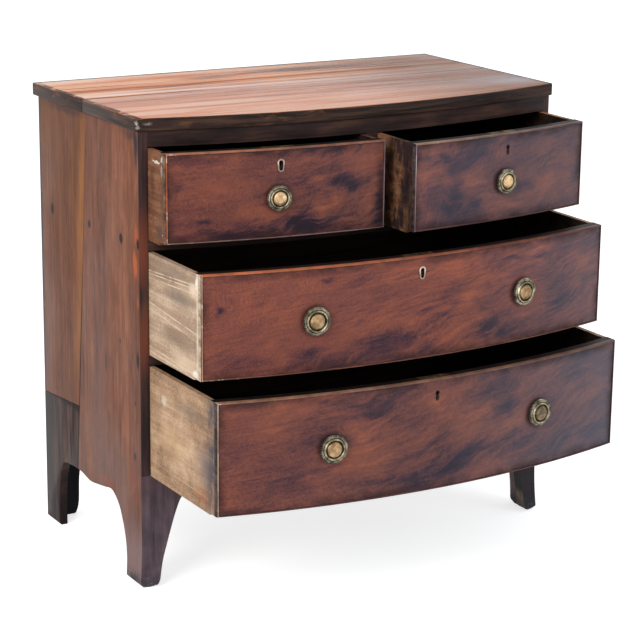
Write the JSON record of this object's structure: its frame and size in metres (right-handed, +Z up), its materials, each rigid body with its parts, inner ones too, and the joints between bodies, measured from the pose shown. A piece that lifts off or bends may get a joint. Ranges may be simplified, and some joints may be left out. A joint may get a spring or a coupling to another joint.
{
  "type": "bow front chest of drawers",
  "caption": "Bow-fronted wooden chest with short drawers over long ones, partly open, turned brass knobs, sliding lock bolts and a shaped apron on splayed bracket feet.",
  "frame": {"origin": "middle of the bounding box at floor level, with the drawers at rest where the picture shows them", "axes": "+X to the right as seen from the front, -Y the way the drawers open, +Z up"},
  "size_m": [0.87, 0.7458, 0.85],
  "materials": {
    "top": "polished mahogany",
    "front": "polished figured mahogany veneer",
    "bead": "polished mahogany bead",
    "side": "worn polished mahogany",
    "splice": "dark stained wood",
    "rail": "dark polished mahogany",
    "lining": "bare drawer lining",
    "carcass": "bare carcass wood",
    "brass": "aged brass",
    "iron": "dull iron"
  },
  "bodies": {
    "case": {"top_front_board": "top", "top_rear_board": "top", "left_side_front_board": "side", "left_side_rear_board": "side", "left_side_rear_splice": "splice", "right_side": "side", "backboard": "carcass", "top_rail_and_kickers": "rail", "muntin": "rail", "centre_guide": "carcass", "upper_blade": "rail", "upper_dustboard": "carcass", "lower_blade": "rail", "lower_dustboard": "carcass", "bottom_board": "carcass", "apron_with_front_feet": "front", "rear_left_foot_bracket": "carcass", "rear_right_foot_bracket": "carcass", "front_left_foot_block": "carcass", "front_right_foot_block": "carcass"},
    "short_left_drawer": {"short_left_front": "front", "short_left_cockbead": "bead", "short_left_left_side": "lining", "short_left_right_side": "lining", "short_left_back": "lining", "short_left_bottom": "lining", "short_left_lock_case": "brass", "short_left_escutcheon": "brass", "short_left_knob": "brass"},
    "short_left_lock_bolt": {"short_left_lock_bolt": "iron"},
    "short_right_drawer": {"short_right_front": "front", "short_right_cockbead": "bead", "short_right_left_side": "lining", "short_right_right_side": "lining", "short_right_back": "lining", "short_right_bottom": "lining", "short_right_lock_case": "brass", "short_right_knob": "brass"},
    "short_right_lock_bolt": {"short_right_lock_bolt": "iron"},
    "upper_long_drawer": {"upper_long_front": "front", "upper_long_cockbead": "bead", "upper_long_left_side": "lining", "upper_long_right_side": "lining", "upper_long_back": "lining", "upper_long_bottom": "lining", "upper_long_lock_case": "brass", "upper_long_escutcheon": "brass", "upper_long_left_knob": "brass", "upper_long_right_knob": "brass"},
    "upper_long_lock_bolt": {"upper_long_lock_bolt": "iron"},
    "lower_long_drawer": {"lower_long_front": "front", "lower_long_cockbead": "bead", "lower_long_left_side": "lining", "lower_long_right_side": "lining", "lower_long_back": "lining", "lower_long_bottom": "lining", "lower_long_lock_case": "brass", "lower_long_left_knob": "brass", "lower_long_right_knob": "brass"},
    "lower_long_lock_bolt": {"lower_long_lock_bolt": "iron"}
  },
  "joints": [
    {"name": "short_left_drawer_slide", "type": "slide", "parent": "case", "child": "short_left_drawer", "axis": [0, -1, 0], "range_m": [-0.065, 0.235]},
    {"name": "short_left_bolt_slide", "type": "slide", "parent": "short_left_drawer", "child": "short_left_lock_bolt", "axis": [0, 0, 1], "range_m": [0, 0.008]},
    {"name": "short_right_drawer_slide", "type": "slide", "parent": "case", "child": "short_right_drawer", "axis": [0, -1, 0], "range_m": [-0.123, 0.177]},
    {"name": "short_right_bolt_slide", "type": "slide", "parent": "short_right_drawer", "child": "short_right_lock_bolt", "axis": [0, 0, 1], "range_m": [0, 0.008]},
    {"name": "upper_long_drawer_slide", "type": "slide", "parent": "case", "child": "upper_long_drawer", "axis": [0, -1, 0], "range_m": [-0.192, 0.108]},
    {"name": "upper_long_bolt_slide", "type": "slide", "parent": "upper_long_drawer", "child": "upper_long_lock_bolt", "axis": [0, 0, 1], "range_m": [0, 0.008]},
    {"name": "lower_long_drawer_slide", "type": "slide", "parent": "case", "child": "lower_long_drawer", "axis": [0, -1, 0], "range_m": [-0.248, 0.052]},
    {"name": "lower_long_bolt_slide", "type": "slide", "parent": "lower_long_drawer", "child": "lower_long_lock_bolt", "axis": [0, 0, 1], "range_m": [0, 0.008]}
  ]
}
